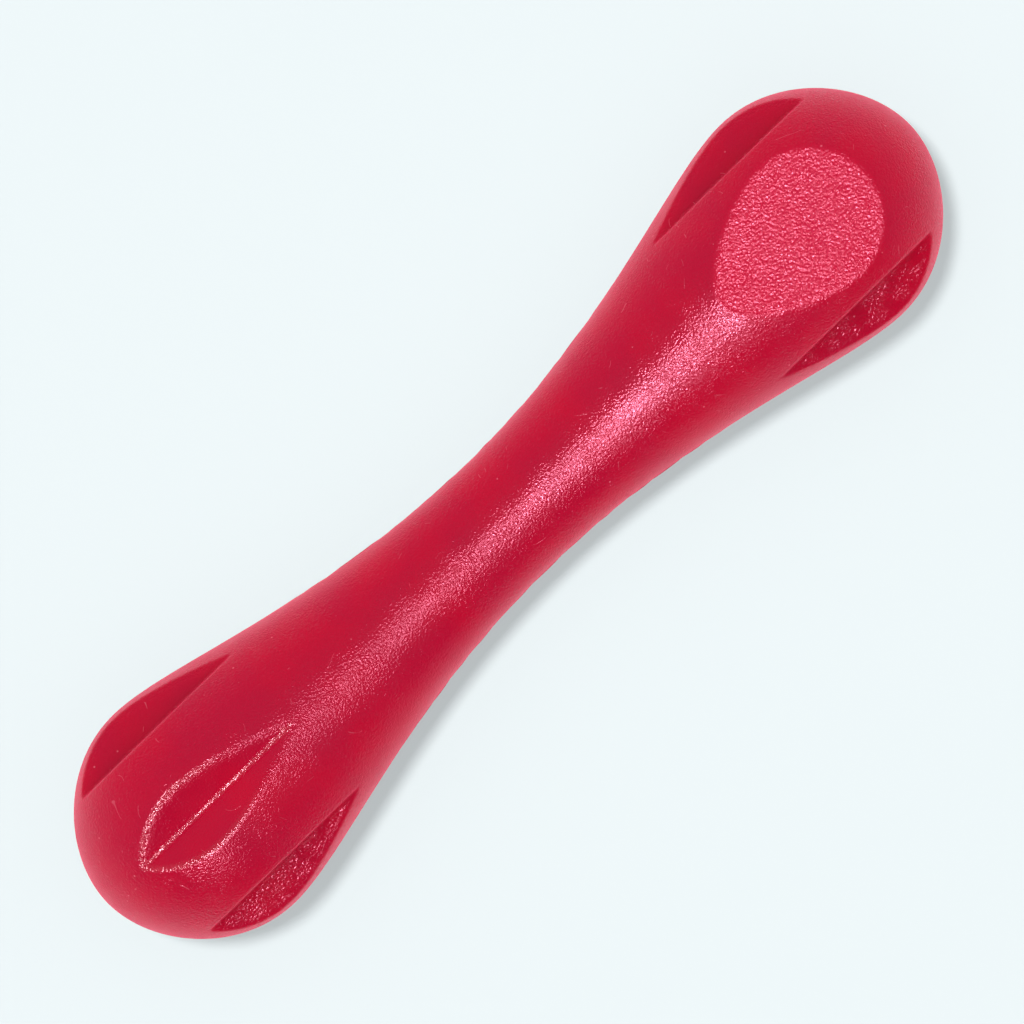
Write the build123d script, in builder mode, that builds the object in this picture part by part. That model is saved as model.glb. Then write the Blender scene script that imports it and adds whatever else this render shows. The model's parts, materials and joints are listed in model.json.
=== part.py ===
from build123d import *
from math import asin, cos, radians, sin, sqrt, tan
import os

# A dog's chew bone, moulded in one piece of solid rubber. Sizes are in millimetres.
# It lies along X with Z up, on a floor at Z = 0. A round waist swells into a bulb at each end,
# and V flutes run along the bulbs. On top of the +X bulb a flat pad takes the place of one flute.

# Outline of the bone
LENGTH = 210.0
BULB_DIAMETER = 49.2
WAIST_DIAMETER = 24.7
BULB_INSET = 25.5  # from a tip to the widest place of its bulb
WAIST_EASE = 38.3  # reach of the curve's handle at mid-length: a longer one makes a longer waist
BULB_EASE = 13.9  # reach of the handle at the widest place, towards the waist
NOSE_EASE = 11.5  # reach of the handle at the tip: a longer one makes a blunter nose

# Flutes along the bulbs
FLUTE_COUNT = 6  # round a whole bulb, and even, so that one lies underneath, opposite the pad
FLUTE_DEPTH = 4.85  # at the widest place, down to where the two walls would meet
FLUTE_ANGLE = 120.0  # between the two walls
VALLEY_RADIUS = 0.8
LIP_RADIUS = 1.0

# Flat pad on the +X bulb
PAD_DEPTH = 4.3  # below the widest place
PAD_EDGE_RADIUS = 0.5

# Sizes that follow from these
half_length = LENGTH / 2
bulb_radius = BULB_DIAMETER / 2
waist_radius = WAIST_DIAMETER / 2
bulb_x = half_length - BULB_INSET
flute_pitch = 360 / FLUTE_COUNT
flute_floor = bulb_radius - FLUTE_DEPTH
flute_reach = FLUTE_DEPTH + LIP_RADIUS
half_angle = radians(FLUTE_ANGLE / 2)
flute_half_width = flute_reach * tan(half_angle)

# The curvature is the same on both sides of the widest place, so the bulb has no crease there
tip_ease = BULB_EASE * sqrt((bulb_radius - NOSE_EASE) / (bulb_radius - waist_radius))

# The bone rests on the rounded lips of its two lowest flutes. A lip's centre lies one lip radius
# inside both the flute's wall and the bulb, at lip_angle from the middle of the flute.
lip_centre = bulb_radius - LIP_RADIUS
lip_angle = half_angle - asin((flute_floor * sin(half_angle) - LIP_RADIUS) / lip_centre)
axis_height = lip_centre * cos(lip_angle) + LIP_RADIUS

bone_axis = Axis((0, 0, axis_height), (1, 0, 0))
lengthwise = Plane.XY.offset(axis_height)
crosswise = Plane((0, 0, axis_height), x_dir=(0, 1, 0), z_dir=(1, 0, 0))
pad_plane = lengthwise.offset(bulb_radius - PAD_DEPTH)


# Section of one flute: a V with a rounded bottom, which opens outwards along X
with BuildSketch() as flute:
    with BuildLine():
        Polyline(
            (0, 0),
            (flute_reach, flute_half_width),
            (flute_reach, -flute_half_width),
            close=True,
        )
    make_face()
    fillet(flute.vertices().sort_by(Axis.X)[0], VALLEY_RADIUS)


with BuildPart() as chew_bone:
    # The bone's smooth body: half of it turned about the axis, then mirrored
    with BuildSketch(lengthwise):
        with BuildLine():
            Bezier(
                (0, waist_radius),
                (WAIST_EASE, waist_radius),
                (bulb_x - BULB_EASE, bulb_radius),
                (bulb_x, bulb_radius),
            )
            Bezier(
                (bulb_x, bulb_radius),
                (bulb_x + tip_ease, bulb_radius),
                (half_length, NOSE_EASE),
                (half_length, 0),
            )
            Polyline((half_length, 0), (0, 0), (0, waist_radius))
        make_face()
    revolve(axis=bone_axis)
    mirror(about=Plane.YZ)

    # Flutes all round the -X bulb, with their curved lips rolled over
    with BuildSketch(crosswise):
        with PolarLocations(flute_floor, FLUTE_COUNT, start_angle=90):
            add(flute.sketch)
    extrude(amount=-half_length, mode=Mode.SUBTRACT)
    lips = chew_bone.edges(Select.LAST).filter_by(GeomType.LINE, reverse=True)
    fillet(lips, LIP_RADIUS)

    # Flutes round the +X bulb, with the place on top left free for the pad
    with BuildSketch(crosswise):
        with PolarLocations(
            flute_floor,
            FLUTE_COUNT - 1,
            start_angle=90 + flute_pitch,
            angular_range=360 - 2 * flute_pitch,
            endpoint=True,
        ):
            add(flute.sketch)
    extrude(amount=half_length, mode=Mode.SUBTRACT)
    lips = chew_bone.edges(Select.LAST).filter_by(GeomType.LINE, reverse=True)
    fillet(lips, LIP_RADIUS)

    # The flat pad, which slices the top off the +X bulb and has an eased rim
    with BuildSketch(pad_plane):
        Rectangle(half_length, BULB_DIAMETER, align=(Align.MIN, Align.CENTER))
    extrude(amount=bulb_radius, mode=Mode.SUBTRACT)
    fillet(chew_bone.edges(Select.LAST), PAD_EDGE_RADIUS)

chew_bone.part.label = "chew_bone"

os.makedirs("parts", exist_ok=True)
export_step(chew_bone.part, "parts/chew_bone.step")
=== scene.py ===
import json
from math import cos, pi, radians, sin, sqrt

import bpy
import numpy as np
from mathutils import Euler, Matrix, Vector, noise


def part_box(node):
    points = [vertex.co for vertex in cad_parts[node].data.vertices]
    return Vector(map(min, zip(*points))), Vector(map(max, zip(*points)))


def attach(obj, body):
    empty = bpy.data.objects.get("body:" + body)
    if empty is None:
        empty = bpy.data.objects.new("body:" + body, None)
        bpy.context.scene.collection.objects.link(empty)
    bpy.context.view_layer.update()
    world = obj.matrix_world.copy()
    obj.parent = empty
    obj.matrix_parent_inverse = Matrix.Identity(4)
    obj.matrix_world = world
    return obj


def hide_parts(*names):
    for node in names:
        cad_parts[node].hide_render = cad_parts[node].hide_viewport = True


# A dog's chew bone of solid red rubber, seen from almost straight above on a plain pale floor.
# It lies along X with Z up. Sizes are in metres, and angles round the bone start at +Y.

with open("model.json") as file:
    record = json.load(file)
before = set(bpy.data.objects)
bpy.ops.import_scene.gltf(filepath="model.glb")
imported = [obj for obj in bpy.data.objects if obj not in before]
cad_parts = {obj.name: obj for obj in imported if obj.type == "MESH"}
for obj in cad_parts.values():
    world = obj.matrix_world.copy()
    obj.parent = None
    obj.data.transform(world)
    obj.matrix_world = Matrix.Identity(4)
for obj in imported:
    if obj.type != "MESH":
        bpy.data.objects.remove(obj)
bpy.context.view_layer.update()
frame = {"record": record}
bone_low, bone_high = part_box("chew_bone")

MM = 0.001

# Outline of the bone, as in the solid
HALF_LENGTH = (bone_high.x - bone_low.x) / 2
AXIS_HEIGHT = next(m["pos_m"][2] for m in frame["record"]["mounts"] if m["name"] == "waist")
BULB_RADIUS = 24.6 * MM
WAIST_RADIUS = 12.35 * MM
BULB_INSET = 25.5 * MM
BULB_X = HALF_LENGTH - BULB_INSET
WAIST_EASE = 38.3 * MM
BULB_EASE = 13.9 * MM
NOSE_EASE = 11.5 * MM
TIP_EASE = BULB_EASE * sqrt((BULB_RADIUS - NOSE_EASE) / (BULB_RADIUS - WAIST_RADIUS))

# Flutes and pad, as in the solid but with softer lips and a softer rim
FLUTE_COUNT = 6
FLUTE_PITCH = 2 * pi / FLUTE_COUNT
FLUTE_DEPTH = 4.85 * MM
FLUTE_FLOOR = BULB_RADIUS - FLUTE_DEPTH
FLUTE_HALF_ANGLE = radians(60)
VALLEY_RADIUS = 0.8 * MM
LIP_RADIUS = 1.1 * MM
TOP = pi / 2
PAD_DEPTH = 4.3 * MM
PAD_LEVEL = BULB_RADIUS - PAD_DEPTH
PAD_EDGE_RADIUS = 2.5 * MM
DEEPEST_CUT = 8 * MM

# Flash along the parting line on both sides of the waist: its size, and the noise that breaks it up
FLASH_SIDES = (0.0, pi)
FLASH_HEIGHT = 0.16 * MM
FLASH_HALF_WIDTH = 0.28 * MM
FLASH_REACH = 46 * MM
FLASH_FADE = 8 * MM
FLASH_BREAKS = 2.6 * MM
FLASH_MEAN = 0.45
FLASH_SWING = 1.1
FLASH_NOISE_SPREAD = 10
FLASH_NOISE_LEVEL = 0.5

# Slow unevenness of the cooled rubber, and the bow of the waist to one side
UNEVENNESS = 0.035 * MM
UNEVEN_LENGTH = 14 * MM
BOW = 0.28 * MM
BOW_MIDDLE = 20 * MM
BOW_REACH = 60 * MM

# Rows of the mesh: their spacing at places along the bone, finest where flutes and pad begin and end
ROW_PLACES = np.array([0, 46, 53, 58, 63, 84, 90, 96.5, 99, 105]) * MM
ROW_STEPS = np.array([1.9, 1.7, 0.45, 0.45, 0.8, 0.85, 0.36, 0.32, 0.75, 1.1]) * MM

# Columns of the mesh: closest at edges, and drawn to the flutes and the pad only where these are near
COLUMN_COUNT = 312
FINE_STEP = 0.17 * MM
WIDE_STEP = 0.85 * MM
STEP_GROWTH = 0.32
CROWD_PLACES = np.array([36, 52, 98, 103]) * MM
CROWD_SHARES = (0, 1, 1, 0)
SEAM = -pi / 2

# Steps of curves and searches, and least values that keep the sums sound
CURVE_STEPS = 1500
RING_STEPS = 3000
SOLVE_STEPS = 40
LEAST_LIP_ANGLE = radians(5)
LEAST_DEPTH = 1e-7
LEAST_SINE_SQUARE = 0.03
TINY = 1e-9

# Colours of the rubber, with the pad's paler red a painted highlight
RED = (0.48, 0.001, 0.022, 1.0)
DEEP_RED = (0.43, 0.0018, 0.026, 1.0)
# Paler, pinker red of the pad: a painted highlight that stands in for the lamps' glints on its grain
PAD_PAINTED_HIGHLIGHT_RED = (0.55, 0.004, 0.034, 1.0)
MARK_PINK = (0.8, 0.2, 0.28, 1.0)
SPECULAR_TINT = (1.0, 0.31, 0.48, 1.0)
SHEEN_TINT = (1.0, 0.034, 0.124, 1.0)

# Where the rubber's surface changes: distances from an edge or a valley, then places along Z, X, Y and X
PAD_BLEND = (-0.9 * MM, 0.9 * MM)
WALL_BLEND = (0.5 * MM, 1.5 * MM)
LIP_BLEND = (0.8 * MM, 0.25 * MM)
VALLEY_BLEND = (0.95 * MM, 0.5 * MM)
TOP_BLEND = (41 * MM, 43 * MM)
CROWN_BLEND = (64 * MM, 80 * MM)
COARSE_BLEND = (-4 * MM, -12 * MM)
CREASE_BLEND = (70 * MM, 58 * MM)

# Grain of the rubber: sizes across in metres, heights in millimetres, and the noise values of its patches
GRAIN_SIZE = 0.42 * MM
GRAIN_HEIGHTS = (0.12, 0.19)
WEAR_SIZE = 9 * MM
WEAR_RANGE = (0.35, 0.65)
WALL_GRAIN_LOSS = 0.6
EDGE_GRAIN_GAIN = 1.0
DOT_SIZE = 0.52 * MM
DOT_HEIGHT = 0.16
DOT_SMOOTHNESS = 0.5
COARSE_SIZE = 0.5 * MM
COARSE_HEIGHT = 0.36
COARSE_PATCH_SIZE = 4.5 * MM
COARSE_PATCH_RANGE = (0.3, 0.55)

# Crease, specks and scratches: in the same units, with how much paler specks and scratches are
CREASE_INSET = 0.45 * MM
CREASE_HALF_WIDTH = 0.22 * MM
CREASE_DEPTH = 0.08
SPECK_SPACING = 4.5 * MM
SPECK_RANGE = (0.055, 0.03)
SPECK_HEIGHT = 0.05
SPECK_PALENESS = 0.4
SCRATCH_SPACING = 9 * MM
SCRATCH_MIDDLE = 0.5
SCRATCH_RANGE = (0.004, 0.001)
SCRATCH_PATCH_SIZE = 2.4 * MM
SCRATCH_PATCH_RANGE = (0.66, 0.7)
SCRATCH_HEIGHT = 0.03
SCRATCH_PALENESS = 0.25

# Slow change of colour and gloss, and the polish of the top flute's edges
COLOUR_PATCH_SIZE = 16 * MM
GLOSS_PATCH_SIZE = 5 * MM
PATCH_RANGE = (0.3, 0.7)
ROUGHNESS = (0.17, 0.22)
POLISH = 0.3

# The camera, and how the photograph is framed in its own pixels
PHOTO_SIZE = 1024
BONE_MIDDLE_PX = (507.66, 514.2)
BONE_HALF_LENGTH_PX = 559.6
BONE_TILT = radians(44.136)
CAMERA_DISTANCE = 2.2
CAMERA_LEAN = radians(2.9)

# Floor of the studio, and the sun on it
BACKGROUND = (0.863, 0.939, 0.956, 1.0)
FLOOR_SIZE = 6.0
FLOOR_SHARE = 0.09
FLOOR_GLOW = 0.49
SUN_ON_FLOOR = 4.5
SUN_SPREAD = radians(7)
SUN_LEAN = radians(8.3)

# Light from all round: strengths, and the parts of a direction between which they change
WHITE = (1.0, 1.0, 1.0, 1.0)
HORIZON_RANGE = (-0.2, 1.0)
HORIZON_LIGHT = (0.1, 0.5)
OVERHEAD_RANGE = (0.5, 0.88)
OVERHEAD_LIGHT = 2.2
DIM_CORNER = (-0.6, -0.8, 0.0)
DIM_RANGE = (0.4, 0.7)
DIM_SHARE = 0.15

# Softboxes that only the gloss shows: name, place, size and watts
SOFTBOXES = (
    ("long_box", (-0.01, -0.25, 1.15), (0.88, 0.2), 23),
    ("short_box", (-0.56, -0.25, 1.15), (0.22, 0.2), 39),
    ("low_box", (-0.42, -0.72, 0.86), (0.24, 0.24), 5),
)


def bezier(handles):
    """Points and tangents along a cubic curve."""
    t = np.linspace(0, 1, CURVE_STEPS)[:, None]
    u = 1 - t
    a, b, c, d = (np.array(p) for p in handles)
    points = u**3 * a + 3 * u**2 * t * b + 3 * u * t**2 * c + t**3 * d
    tangents = u**2 * (b - a) + 2 * u * t * (c - b) + t**2 * (d - c)
    return points, tangents


def half_outline():
    """Rows of the plain body from mid-length to a tip: place, radius and outward normal."""
    flank, flank_way = bezier([
        (0, WAIST_RADIUS),
        (WAIST_EASE, WAIST_RADIUS),
        (BULB_X - BULB_EASE, BULB_RADIUS),
        (BULB_X, BULB_RADIUS),
    ])
    cap, cap_way = bezier([
        (BULB_X, BULB_RADIUS),
        (BULB_X + TIP_EASE, BULB_RADIUS),
        (HALF_LENGTH, NOSE_EASE),
        (HALF_LENGTH, 0),
    ])
    points = np.vstack([flank, cap[1:]])
    way = np.vstack([flank_way, cap_way[1:]])
    way /= np.linalg.norm(way, axis=1)[:, None]
    arc = np.concatenate([[0], np.cumsum(np.linalg.norm(np.diff(points, axis=0), axis=1))])
    step = np.interp(points[:, 0], ROW_PLACES, ROW_STEPS)
    count = np.concatenate([[0], np.cumsum(np.diff(arc) / step[1:])])
    at = np.linspace(0, count[-1], round(count[-1]) + 1)
    x, r, way_x, way_r = (np.interp(at, count, v) for v in (*points.T, *way.T))
    return x, r, -way_r, way_x


def lip_angle(r):
    """Angle from the middle of a flute to where its wall meets the body, at body radius r."""
    ratio = FLUTE_FLOOR * sin(FLUTE_HALF_ANGLE) / np.maximum(r, FLUTE_FLOOR)
    return np.maximum(FLUTE_HALF_ANGLE - np.arcsin(ratio), LEAST_LIP_ANGLE)


def pad_angle(r):
    """Angle from the top to the rim of the pad, at body radius r."""
    return np.maximum(np.arccos(np.minimum(PAD_LEVEL / np.maximum(r, PAD_LEVEL), 1)), LEAST_LIP_ANGLE)


def flute_angles(end):
    """Middles of the flutes of one end: all round at -X, and all but the top one at +X."""
    first = 0 if end < 0 else 1
    return [TOP + k * FLUTE_PITCH for k in range(first, FLUTE_COUNT)]


def turned(angle):
    """An angle brought into the half turn on either side of zero."""
    return (angle + pi) % (2 * pi) - pi


def column_angles(x, r, end):
    """Angles of the columns of one row, close together at lips, valleys, the rim of the pad and the flash."""
    ring = np.linspace(SEAM, SEAM + 2 * pi, RING_STEPS)
    marks = [m + s * lip_angle(r) for m in flute_angles(end) for s in (-1, 0, 1)]
    if end > 0:
        marks += [TOP - pad_angle(r), TOP + pad_angle(r)]

    def crowding(angles):
        """Columns per length all round the ring, most at these angles."""
        gap = np.min([np.abs(turned(ring - a)) for a in angles], axis=0) * r
        return 1 / np.minimum(FINE_STEP + STEP_GROWTH * gap, WIDE_STEP)

    share = np.interp(x, CROWD_PLACES, CROWD_SHARES)
    plain = crowding(FLASH_SIDES)
    edged = crowding([*marks, *FLASH_SIDES])
    crowd = (1 - share) * plain / plain.mean() + share * edged / crowding(marks).mean()
    total = np.concatenate([[0], np.cumsum((crowd[1:] + crowd[:-1]) / 2)])
    return np.interp(np.arange(COLUMN_COUNT) / COLUMN_COUNT * total[-1], total, ring)


def rounded_meeting(a, b, lean, roll):
    """Distance to the outside of two surfaces that meet in an edge rolled to the radius roll: a and b are
    the distances to each of them, and lean is the cosine between their normals."""
    a, b = a + roll, b + roll
    rolled = (a > lean * b) & (b > lean * a)
    square = (a * a + b * b - 2 * lean * a * b) / np.maximum(1 - lean * lean, TINY)
    return np.where(rolled, np.sqrt(np.maximum(square, 0)), np.maximum(a, b)) - roll


def flute_wall(radius, off_middle):
    """Distance out of a flute's wall and the wall's normal, along and across the flute's middle plane."""
    out, across = radius * np.cos(off_middle), radius * np.sin(off_middle)
    side = np.where(across < 0, -1.0, 1.0)
    wall = (out - FLUTE_FLOOR) * sin(FLUTE_HALF_ANGLE) - np.abs(across) * cos(FLUTE_HALF_ANGLE)
    centre = FLUTE_FLOOR + VALLEY_RADIUS / sin(FLUTE_HALF_ANGLE)
    reach = np.maximum(np.hypot(out - centre, across), TINY)
    in_valley = (centre - out) * cos(FLUTE_HALF_ANGLE) > np.abs(across) * sin(FLUTE_HALF_ANGLE)
    distance = np.where(in_valley, VALLEY_RADIUS - reach, wall)
    normal_out = np.where(in_valley, (centre - out) / reach, sin(FLUTE_HALF_ANGLE))
    normal_across = np.where(in_valley, -across / reach, -side * cos(FLUTE_HALF_ANGLE))
    return distance, normal_out, normal_across


def depth_of(cutter, r, normal_r, roll):
    """How far below the body a cutter's surface lies, measured along the body's normal."""
    low = np.zeros_like(r)
    high = np.full_like(r, DEEPEST_CUT)
    for _ in range(SOLVE_STEPS):
        depth = (low + high) / 2
        distance, lean = cutter(r - depth * normal_r)
        outside = rounded_meeting(-depth, distance, lean, roll) > 0
        low = np.where(outside, depth, low)
        high = np.where(outside, high, depth)
    return np.where(low > LEAST_DEPTH, high, 0)


def edge_distance(cutter, r):
    """Distance on the body from a cutter's edge, positive inside the cut."""
    distance, lean = cutter(r)
    return distance / np.sqrt(np.maximum(1 - lean * lean, LEAST_SINE_SQUARE))


def bone_surface():
    """Rows of points from the -X tip to the +X tip as places, radii and angles, and for each point its
    distances inside a flute, from a flute's valley and inside the pad."""
    rows = [v[:-1] for v in half_outline()]
    ends = []
    for end in (-1, 1):
        angle = np.array([column_angles(x, r, end) for x, r in zip(*rows[:2])])
        x, r, normal_x, normal_r = (np.repeat(v[:, None], COLUMN_COUNT, axis=1) for v in rows)
        middles = np.array(flute_angles(end))
        nearest = np.argmin(np.abs(turned(angle[..., None] - middles)), axis=-1)
        off_middle = turned(angle - middles[nearest])

        def flute(radius):
            """Distance out of the nearest flute, and the cosine between its wall's normal and the body's."""
            distance, out, across = flute_wall(radius, off_middle)
            return distance, normal_r * (out * np.cos(off_middle) + across * np.sin(off_middle))

        def pad(radius):
            """The same two values for the plane of the pad."""
            return radius * np.cos(angle - TOP) - PAD_LEVEL, normal_r * np.cos(angle - TOP)

        depth = depth_of(flute, r, normal_r, LIP_RADIUS)
        in_flute = edge_distance(flute, r)
        off_valley = np.where(in_flute > 0, np.abs(r * np.sin(off_middle)), HALF_LENGTH)
        in_pad = np.full_like(r, -HALF_LENGTH)
        if end > 0:
            depth = np.maximum(depth, depth_of(pad, r, normal_r, PAD_EDGE_RADIUS))
            in_pad = np.where(np.cos(angle - TOP) > 0, edge_distance(pad, r), -HALF_LENGTH)
        place = end * (x - depth * normal_x)
        radius = r - depth * normal_r
        ends.append([place, radius, angle, in_flute, off_valley, in_pad])
    left, right = ends
    return [np.vstack([a[:0:-1], b]) for a, b in zip(left, right)]


def in_space(place, radius, angle, bow=0.0):
    """Points at these places along the bone, radii and angles, moved sideways by the bow."""
    across = radius * np.cos(angle) - bow
    up = radius * np.sin(angle) + AXIS_HEIGHT
    return np.stack([place, across, up], axis=-1).reshape(-1, 3)


def with_flash(place, radius, angle):
    """Radii with the flash on both sides of the waist, broken up along its length."""
    along = place[:, 0]
    fade = np.clip((FLASH_REACH - np.abs(along)) / FLASH_FADE, 0, 1)
    for side in FLASH_SIDES:
        across = np.abs(turned(angle - side)) * radius / FLASH_HALF_WIDTH
        spots = [(x / FLASH_BREAKS, side * FLASH_NOISE_SPREAD, FLASH_NOISE_LEVEL) for x in along]
        ragged = np.array([noise.noise(spot) for spot in spots])
        height = FLASH_HEIGHT * np.clip(FLASH_MEAN + FLASH_SWING * ragged, 0, 1) * fade
        radius = radius + height[:, None] * np.clip(1 - across, 0, 1)
    return radius


def with_unevenness(place, radius, angle):
    """Radii less the slow unevenness of the cooled rubber."""
    points = in_space(place, radius, angle)
    wave = np.array([noise.noise(Vector(p) / UNEVEN_LENGTH) for p in points]).reshape(radius.shape)
    return radius - UNEVENNESS * (0.5 + 0.5 * wave)


def faces_and_map(rows):
    """Faces over all rows and the two tips, and the column and row of each of their corners for the map."""
    last = (rows - 1) * COLUMN_COUNT
    first_tip = rows * COLUMN_COUNT
    faces = []
    corners = []
    for i in range(rows - 1):
        for j in range(COLUMN_COUNT):
            k = (j + 1) % COLUMN_COUNT
            a, b = i * COLUMN_COUNT, (i + 1) * COLUMN_COUNT
            faces.append((a + j, b + j, b + k, a + k))
            corners += [(j, i), (j, i + 1), (j + 1, i + 1), (j + 1, i)]
    for j in range(COLUMN_COUNT):
        k = (j + 1) % COLUMN_COUNT
        faces.append((first_tip, j, k))
        faces.append((last + j, first_tip + 1, last + k))
        corners += [(j + 0.5, -1), (j, 0), (j + 1, 0)]
        corners += [(j, rows - 1), (j + 0.5, rows), (j + 1, rows - 1)]
    return faces, corners


def bone_mesh():
    """The bone's mesh, with its fine marks, a map for its material and the three distances as attributes."""
    place, radius, angle, in_flute, off_valley, in_pad = bone_surface()
    rows = len(place)
    radius = with_flash(place, radius, angle)
    radius = with_unevenness(place, radius, angle)
    bow = BOW * np.clip(1 - ((place - BOW_MIDDLE) / BOW_REACH) ** 2, 0, 1) ** 2
    tips = [(-HALF_LENGTH, 0, AXIS_HEIGHT), (HALF_LENGTH, 0, AXIS_HEIGHT)]
    points = np.vstack([in_space(place, radius, angle, bow), tips])
    faces, corners = faces_and_map(rows)

    mesh = bpy.data.meshes.new("chew_bone_rubber")
    mesh.from_pydata(points.tolist(), [], faces)
    layer = mesh.uv_layers.new(name="OFBake")
    spread = (np.array(corners) + (0, 1)) / (COLUMN_COUNT, rows + 1)
    layer.uv.foreach_set("vector", spread.astype(np.float32).ravel())
    for name, values in (("in_flute", in_flute), ("off_valley", off_valley), ("in_pad", in_pad)):
        at_tips = [values[0, 0], values[-1, 0]]
        attribute = mesh.attributes.new(name, "FLOAT", "POINT")
        attribute.data.foreach_set("value", np.concatenate([values.ravel(), at_tips]).astype(np.float32))
    mesh.shade_smooth()
    mesh.validate()
    return mesh


class Nodes:
    """Adds nodes to a material or world: inputs are numbers, colours or other nodes' outputs."""

    def __init__(self, owner):
        owner.use_nodes = True
        self.tree = owner.node_tree
        self.tree.nodes.clear()

    def add(self, kind, inputs=None, **settings):
        """A new node, with its settings made before its inputs are filled."""
        node = self.tree.nodes.new("ShaderNode" + kind)
        for name, value in settings.items():
            setattr(node, name, value)
        for name, value in (inputs or {}).items():
            socket = node.inputs[name]
            if isinstance(value, bpy.types.NodeSocket):
                self.tree.links.new(value, socket)
            else:
                socket.default_value = value
        return node

    def attribute(self, name):
        """One of the distances that the mesh carries."""
        return self.add("Attribute", attribute_name=name).outputs["Fac"]

    def math(self, operation, *values):
        """The result of a sum on one, two or three values."""
        return self.add("Math", dict(enumerate(values)), operation=operation).outputs[0]

    def ramp(self, value, limits, results=(0.0, 1.0)):
        """A smooth step from the first result to the second while value goes from limit to limit."""
        inputs = {0: value, 1: limits[0], 2: limits[1], 3: results[0], 4: results[1]}
        return self.add("MapRange", inputs, interpolation_type="SMOOTHSTEP").outputs[0]

    def noise(self, where, size, detail):
        """Soft noise with lumps of one size."""
        inputs = {"Vector": where, "Scale": 1 / size, "Detail": detail}
        return self.add("TexNoise", inputs).outputs[0]

    def mix(self, share, a, b):
        """A colour between a and b, which are the sockets 6 and 7 of the node."""
        return self.add("Mix", {0: share, 6: a, 7: b}, data_type="RGBA").outputs[2]


def rubber_zones(nodes, place, in_pad):
    """Shares from 0 to 1 on the pad, on the flutes' walls, at the lips and the valley of the top flute,
    and where these lips and this valley are polished."""
    in_flute = nodes.attribute("in_flute")
    on_pad = nodes.ramp(in_pad, PAD_BLEND)
    in_valley = nodes.ramp(nodes.attribute("off_valley"), VALLEY_BLEND)
    past_valley = nodes.math("SUBTRACT", 1.0, in_valley)
    on_wall = nodes.math("MULTIPLY", nodes.ramp(in_flute, WALL_BLEND), past_valley)
    on_lip = nodes.ramp(nodes.math("ABSOLUTE", in_flute), LIP_BLEND)
    at_top = nodes.ramp(place["Z"], TOP_BLEND)
    on_edge = nodes.math("MULTIPLY", at_top, nodes.math("MAXIMUM", on_lip, in_valley))
    at_crown = nodes.ramp(nodes.math("ABSOLUTE", place["X"]), CROWN_BLEND)
    crown_lip = nodes.math("MULTIPLY", on_lip, at_crown)
    polished = nodes.math("MULTIPLY", at_top, nodes.math("MAXIMUM", crown_lip, in_valley))
    return on_pad, on_wall, on_edge, polished


def rubber_grain(nodes, where, place, on_pad, on_wall, on_edge):
    """Height of the grain of the mould."""
    # Fine grain all over: worn in patches, weak on walls, strong at the lips and the valley of the top flute
    worn = nodes.ramp(nodes.noise(where, WEAR_SIZE, detail=2.0), WEAR_RANGE, GRAIN_HEIGHTS)
    worn = nodes.math("MULTIPLY", worn, nodes.math("MULTIPLY_ADD", on_wall, -WALL_GRAIN_LOSS, 1.0))
    worn = nodes.math("MULTIPLY", worn, nodes.math("MULTIPLY_ADD", on_edge, EDGE_GRAIN_GAIN, 1.0))
    fine = nodes.math("MULTIPLY", nodes.noise(where, GRAIN_SIZE, detail=1.0), worn)

    # Round dots on the pad
    cells = {"Vector": where, "Scale": 1 / DOT_SIZE, "Smoothness": DOT_SMOOTHNESS}
    dots = nodes.add("TexVoronoi", cells, feature="SMOOTH_F1").outputs["Distance"]
    dots = nodes.math("MULTIPLY", dots, nodes.math("MULTIPLY", on_pad, -DOT_HEIGHT))

    # Coarse patches in the flutes of the -Y side
    coarse = nodes.math("MULTIPLY", on_wall, nodes.ramp(place["Y"], COARSE_BLEND))
    patches = nodes.ramp(nodes.noise(where, COARSE_PATCH_SIZE, detail=2.0), COARSE_PATCH_RANGE)
    coarse = nodes.math("MULTIPLY", nodes.math("MULTIPLY", coarse, patches), COARSE_HEIGHT)
    lumps = nodes.noise(where, COARSE_SIZE, detail=0.5)
    return nodes.math("MULTIPLY_ADD", lumps, coarse, nodes.math("ADD", fine, dots))


def rubber_crease(nodes, place, in_pad):
    """Share of a fine crease inside the pad's rim, towards the waist."""
    off_crease = nodes.math("ABSOLUTE", nodes.math("SUBTRACT", in_pad, CREASE_INSET))
    crease = nodes.ramp(off_crease, (CREASE_HALF_WIDTH, 0.0))
    return nodes.math("MULTIPLY", crease, nodes.ramp(place["X"], CREASE_BLEND))


def rubber_marks(nodes, where):
    """Shares of specks of dust pressed into the rubber, and of a few hairline scratches."""
    cells = nodes.add("TexVoronoi", {"Vector": where, "Scale": 1 / SPECK_SPACING}).outputs["Distance"]
    specks = nodes.ramp(cells, SPECK_RANGE)
    bends = nodes.noise(where, SCRATCH_SPACING, detail=0.5)
    off_scratch = nodes.math("ABSOLUTE", nodes.math("SUBTRACT", bends, SCRATCH_MIDDLE))
    scratches = nodes.ramp(off_scratch, SCRATCH_RANGE)
    patches = nodes.ramp(nodes.noise(where, SCRATCH_PATCH_SIZE, detail=0.0), SCRATCH_PATCH_RANGE)
    return specks, nodes.math("MULTIPLY", scratches, patches)


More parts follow.
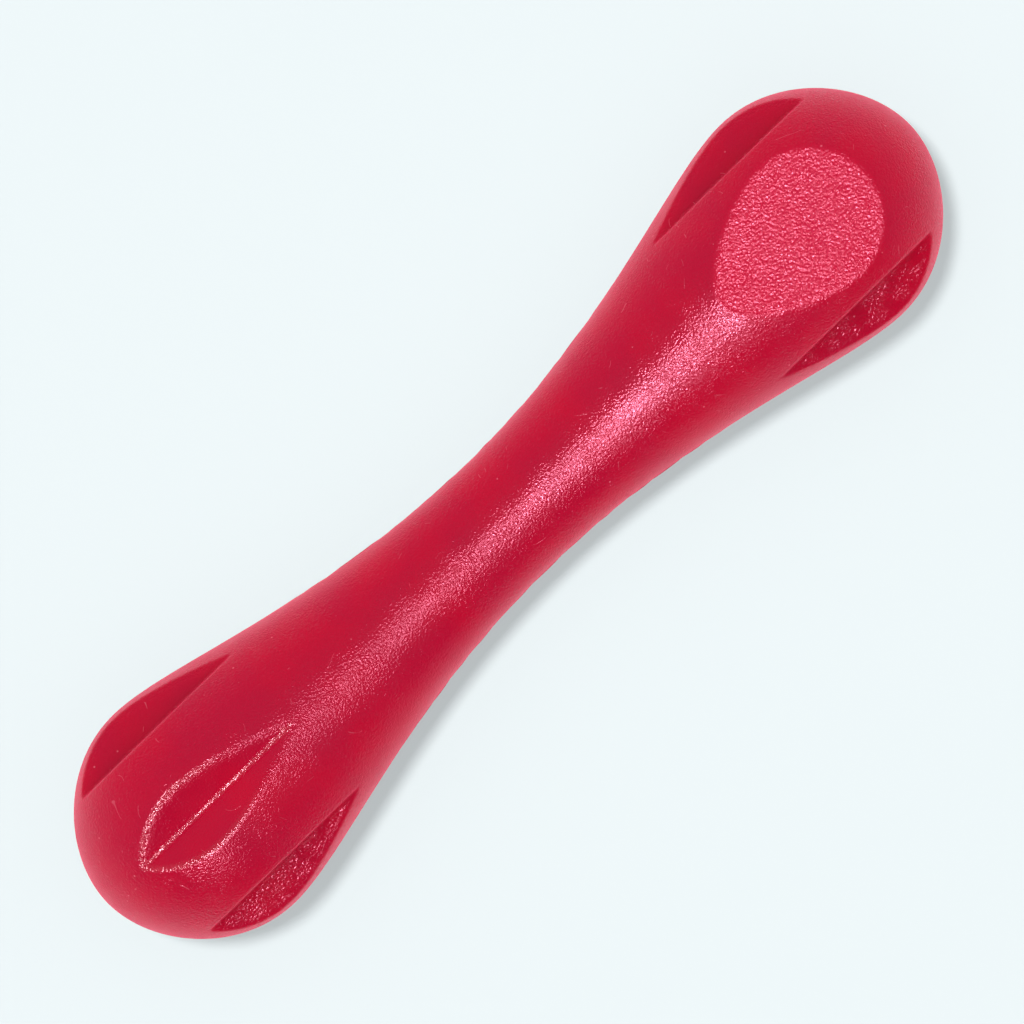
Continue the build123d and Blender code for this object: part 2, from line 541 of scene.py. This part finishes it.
def red_rubber():
    """Satin raspberry red rubber with a moulded grain, strong on the pad and weak on the flutes' walls."""
    material = bpy.data.materials.new("red_rubber")
    nodes = Nodes(material)
    where = nodes.add("TexCoord").outputs["Object"]
    place = nodes.add("SeparateXYZ", {"Vector": where}).outputs
    in_pad = nodes.attribute("in_pad")
    on_pad, on_wall, on_edge, polished = rubber_zones(nodes, place, in_pad)
    crease = rubber_crease(nodes, place, in_pad)
    specks, scratches = rubber_marks(nodes, where)

    # Height of the surface
    height = rubber_grain(nodes, where, place, on_pad, on_wall, on_edge)
    height = nodes.math("MULTIPLY_ADD", crease, -CREASE_DEPTH, height)
    height = nodes.math("MULTIPLY_ADD", specks, SPECK_HEIGHT, height)
    height = nodes.math("MULTIPLY_ADD", scratches, SCRATCH_HEIGHT, height)
    bump = nodes.add("Bump", {"Strength": 1.0, "Distance": MM, "Height": height}).outputs["Normal"]

    # Slow change of colour and gloss
    patches = nodes.ramp(nodes.noise(where, COLOUR_PATCH_SIZE, detail=3.0), PATCH_RANGE)
    colour = nodes.mix(patches, RED, DEEP_RED)
    # The pad is painted paler: a painted highlight for the lamps' glints on its flat grained top
    colour = nodes.mix(on_pad, colour, PAD_PAINTED_HIGHLIGHT_RED)
    pale_specks = nodes.math("MULTIPLY", specks, SPECK_PALENESS)
    pale_scratches = nodes.math("MULTIPLY", scratches, SCRATCH_PALENESS)
    colour = nodes.mix(nodes.math("MAXIMUM", pale_specks, pale_scratches), colour, MARK_PINK)
    gloss = nodes.ramp(nodes.noise(where, GLOSS_PATCH_SIZE, detail=2.0), PATCH_RANGE, ROUGHNESS)

    shader = nodes.add("BsdfPrincipled", {
        "Base Color": colour,
        "Roughness": gloss,
        "Diffuse Roughness": 1.0,
        "Specular IOR Level": 0.3,
        "Specular Tint": SPECULAR_TINT,
        "Coat Weight": nodes.math("MULTIPLY", polished, POLISH),
        "Coat Roughness": 0.15,
        "Coat Normal": bump,
        "Sheen Weight": 1.0,
        "Sheen Roughness": 0.5,
        "Sheen Tint": SHEEN_TINT,
        "Normal": bump,
    })
    nodes.add("OutputMaterial", {"Surface": shader.outputs[0]})
    return material


def make_bone():
    """The one piece, which rides on the root and stands for the whole solid."""
    bone = bpy.data.objects.new("chew_bone_rubber", bone_mesh())
    bpy.context.collection.objects.link(bone)
    bone.data.materials.append(red_rubber())
    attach(bone, "root")
    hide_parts("chew_bone")


def make_floor():
    """A plain pale floor of its own brightness, which keeps the bone's shadow."""
    bpy.ops.mesh.primitive_plane_add(size=FLOOR_SIZE)
    floor = bpy.context.object
    floor.name = "floor"
    material = bpy.data.materials.new("floor")
    nodes = Nodes(material)
    paper = nodes.add("BsdfDiffuse", {"Color": [FLOOR_SHARE * c for c in BACKGROUND[:3]] + [1.0]})
    glow = nodes.add("Emission", {"Color": BACKGROUND, "Strength": FLOOR_GLOW})
    both = nodes.add("AddShader", {0: paper.outputs[0], 1: glow.outputs[0]})
    nodes.add("OutputMaterial", {"Surface": both.outputs[0]})
    floor.data.materials.append(material)
    return floor


def make_world():
    """A broad soft light overhead and a weaker one low on the +Y side. The gloss mirrors the floor's
    own colour, dimmer towards one corner, and the camera sees that colour plain."""
    world = bpy.data.worlds.new("studio")
    bpy.context.scene.world = world
    nodes = Nodes(world)
    direction = nodes.add("TexCoord").outputs["Generated"]
    part = nodes.add("SeparateXYZ", {"Vector": direction}).outputs
    horizon = nodes.ramp(part["Y"], HORIZON_RANGE, HORIZON_LIGHT)
    strength = nodes.ramp(part["Z"], OVERHEAD_RANGE, (horizon, OVERHEAD_LIGHT))
    light = nodes.add("Background", {"Color": WHITE, "Strength": strength})

    corner = nodes.add("VectorMath", {0: direction, 1: DIM_CORNER}, operation="DOT_PRODUCT")
    dimmed = nodes.ramp(corner.outputs["Value"], DIM_RANGE, (1.0, DIM_SHARE))
    mirrored = nodes.add("Background", {"Color": BACKGROUND, "Strength": dimmed})
    seen = nodes.add("Background", {"Color": BACKGROUND})

    ray = nodes.add("LightPath").outputs
    around = nodes.add("MixShader", {0: ray["Is Glossy Ray"], 1: light.outputs[0], 2: mirrored.outputs[0]})
    sees = nodes.math("MAXIMUM", ray["Is Camera Ray"], ray["Is Transmission Ray"])
    both = nodes.add("MixShader", {0: sees, 1: around.outputs[0], 2: seen.outputs[0]})
    nodes.add("OutputWorld", {"Surface": both.outputs[0]})


def make_lights(floor):
    """A steep sun that only lights the floor round the bone's shadow, and three softboxes for the gloss."""
    sun = bpy.data.objects.new("sun", bpy.data.lights.new("sun", "SUN"))
    sun.data.energy = SUN_ON_FLOOR * pi
    sun.data.angle = SUN_SPREAD
    sun.rotation_euler = (-SUN_LEAN, 0, 0)
    bpy.context.collection.objects.link(sun)
    lit = bpy.data.collections.new("lit_by_sun")
    lit.objects.link(floor)
    sun.light_linking.receiver_collection = lit

    for name, place, size, watts in SOFTBOXES:
        box = bpy.data.objects.new(name, bpy.data.lights.new(name, "AREA"))
        box.data.shape = "RECTANGLE"
        box.data.size, box.data.size_y = size
        box.data.energy = watts
        box.location = place
        box.rotation_euler = (-box.location).to_track_quat("-Z", "Y").to_euler()
        box.visible_diffuse = False
        bpy.context.collection.objects.link(box)


def make_camera():
    """Almost straight above the bone, leaning a little to its +X end, and framed as the photograph is."""
    pixel = HALF_LENGTH / BONE_HALF_LENGTH_PX
    right = (PHOTO_SIZE / 2 - BONE_MIDDLE_PX[0]) * pixel
    up = (BONE_MIDDLE_PX[1] - PHOTO_SIZE / 2) * pixel
    aim = Vector((
        right * cos(BONE_TILT) + up * sin(BONE_TILT),
        up * cos(BONE_TILT) - right * sin(BONE_TILT),
        AXIS_HEIGHT,
    ))
    camera = bpy.data.objects.new("camera", bpy.data.cameras.new("camera"))
    turn = Euler((0, CAMERA_LEAN, 0)).to_matrix() @ Euler((0, 0, -BONE_TILT)).to_matrix()
    camera.location = aim + turn @ Vector((0, 0, CAMERA_DISTANCE))
    camera.rotation_euler = turn.to_euler()
    camera.data.lens = camera.data.sensor_width * CAMERA_DISTANCE / (PHOTO_SIZE * pixel)
    bpy.context.collection.objects.link(camera)
    bpy.context.scene.camera = camera


make_bone()
make_lights(make_floor())
make_world()
make_camera()
bpy.context.scene.view_settings.view_transform = "Standard"
